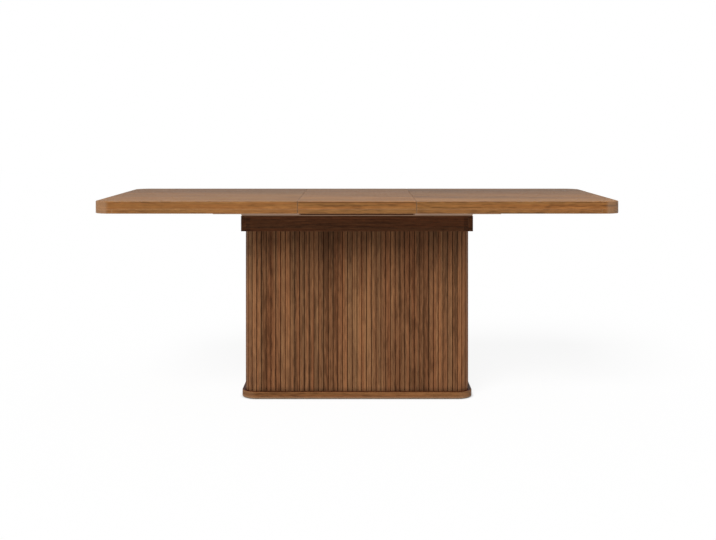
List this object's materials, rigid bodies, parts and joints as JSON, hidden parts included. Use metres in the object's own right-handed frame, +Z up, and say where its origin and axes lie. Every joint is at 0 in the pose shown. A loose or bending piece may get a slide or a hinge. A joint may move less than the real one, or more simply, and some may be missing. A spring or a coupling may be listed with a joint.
{
  "type": "extending pedestal dining table",
  "caption": "Extending dining table with sliding top halves on metal tracks, a lift-out centre leaf and a fluted walnut pedestal on a rounded plinth.",
  "frame": {"origin": "on the floor under the middle of the table", "axes": "+X along the table from left to right, +Y from the front to the back, +Z up"},
  "size_m": [1.905, 0.8, 0.76],
  "materials": {
    "top_veneer": "satin walnut veneer, grain along the table",
    "edge_veneer": "satin walnut edging, grain along the edge",
    "slat_wood": "satin walnut slats, upright grain",
    "plinth_wood": "satin walnut",
    "dark_wood": "dark walnut stain",
    "core_board": "dark stained board behind the slats",
    "underside_board": "plain board under the top",
    "slide_metal": "satin bronze anodised extrusion",
    "screw_steel": "zinc plated",
    "glide_plastic": "black moulded plastic"
  },
  "bodies": {
    "pedestal": {"plinth": "plinth_wood", "plinth_screws": "screw_steel", "floor_glides": "glide_plastic", "core_front_board": "core_board", "core_back_board": "core_board", "core_left_board": "core_board", "core_right_board": "core_board", "core_divider": "core_board", "core_corner_posts": "core_board", "front_slats": "slat_wood", "right_slats": "slat_wood", "back_slats": "slat_wood", "left_slats": "slat_wood", "corner_slats": "slat_wood", "housing_plate": "dark_wood", "housing_front_rail": "dark_wood", "housing_back_rail": "dark_wood", "housing_left_rail": "dark_wood", "housing_right_rail": "dark_wood", "housing_left_stretcher": "dark_wood", "housing_right_stretcher": "dark_wood", "rail_screws": "screw_steel", "plate_screws": "screw_steel", "track_screws": "screw_steel", "front_track": "slide_metal", "back_track": "slide_metal"},
    "left_top": {"left_top_panel": "top_veneer", "left_end_strip": "edge_veneer", "left_front_strip": "edge_veneer", "left_back_strip": "edge_veneer", "left_seam_strip": "underside_board", "left_front_batten": "underside_board", "left_back_batten": "underside_board", "left_front_runner": "slide_metal", "left_back_runner": "slide_metal", "left_stop_blocks": "underside_board", "left_runner_screws": "screw_steel"},
    "right_top": {"right_top_panel": "top_veneer", "right_end_strip": "edge_veneer", "right_front_strip": "edge_veneer", "right_back_strip": "edge_veneer", "right_seam_strip": "underside_board", "right_front_batten": "underside_board", "right_back_batten": "underside_board", "right_front_runner": "slide_metal", "right_back_runner": "slide_metal", "right_stop_blocks": "underside_board", "right_runner_screws": "screw_steel"},
    "leaf": {"leaf_panel": "top_veneer", "leaf_front_strip": "edge_veneer", "leaf_back_strip": "edge_veneer", "leaf_left_strip": "underside_board", "leaf_right_strip": "underside_board", "leaf_front_batten": "underside_board", "leaf_back_batten": "underside_board", "leaf_front_bearer": "dark_wood", "leaf_back_bearer": "dark_wood", "leaf_bearer_screws": "screw_steel"}
  },
  "joints": [
    {"name": "left_top_slide", "type": "slide", "parent": "pedestal", "child": "left_top", "axis": [-1, 0, 0], "range_m": [0, 0.02]},
    {"name": "right_top_slide", "type": "slide", "parent": "pedestal", "child": "right_top", "axis": [1, 0, 0], "range_m": [0, 0.02]},
    {"name": "leaf_lift", "type": "slide", "parent": "pedestal", "child": "leaf", "axis": [0, 0, 1], "range_m": [0, 0.2]}
  ]
}
